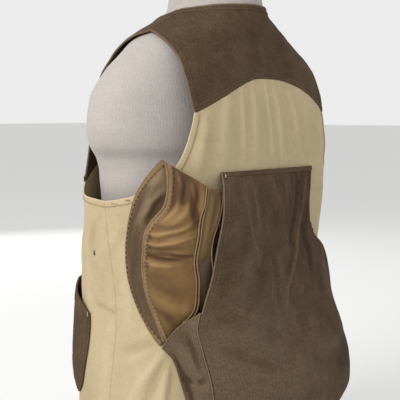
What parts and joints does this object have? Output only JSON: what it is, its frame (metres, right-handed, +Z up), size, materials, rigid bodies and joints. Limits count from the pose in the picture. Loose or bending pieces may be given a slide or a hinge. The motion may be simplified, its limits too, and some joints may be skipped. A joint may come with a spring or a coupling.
{
  "type": "canvas gilet on dress form",
  "caption": "Unlined canvas gilet with shoulder yokes, slanted pockets and a rear game bag, its coated liner pulled open at one side, on a limbless dress form.",
  "frame": {"origin": "middle of the flat foot of the dress form", "axes": "+Z up to the neck stump, front of the gilet towards -Y, wearer's left towards +X"},
  "size_m": [0.4574, 0.3555, 0.861],
  "materials": {
    "form_cover": "pale jersey cover",
    "tan_canvas": "washed tan cotton twill",
    "brown_canvas": "worn dark brown cotton canvas",
    "lip_canvas": "khaki brown canvas",
    "coated_liner": "shiny coated cloth",
    "olive_canvas": "olive brown canvas",
    "button": "mottled dark brown, satin"
  },
  "bodies": {
    "root": {"dress_form": "form_cover", "back_panel": "tan_canvas", "front_left": "tan_canvas", "front_right": "tan_canvas", "button_band": "tan_canvas", "back_yoke": "brown_canvas", "front_yoke_left": "brown_canvas", "front_yoke_right": "brown_canvas", "pocket_left": "brown_canvas", "pocket_right": "brown_canvas", "bag_panel": "brown_canvas", "bag_gusset_left": "brown_canvas", "bag_gusset_right": "brown_canvas", "liner_lip": "lip_canvas", "liner_gusset": "coated_liner", "liner_strip": "olive_canvas", "button_1": "button", "button_2": "button", "button_3": "button", "button_4": "button", "button_5": "button"}
  },
  "joints": []
}
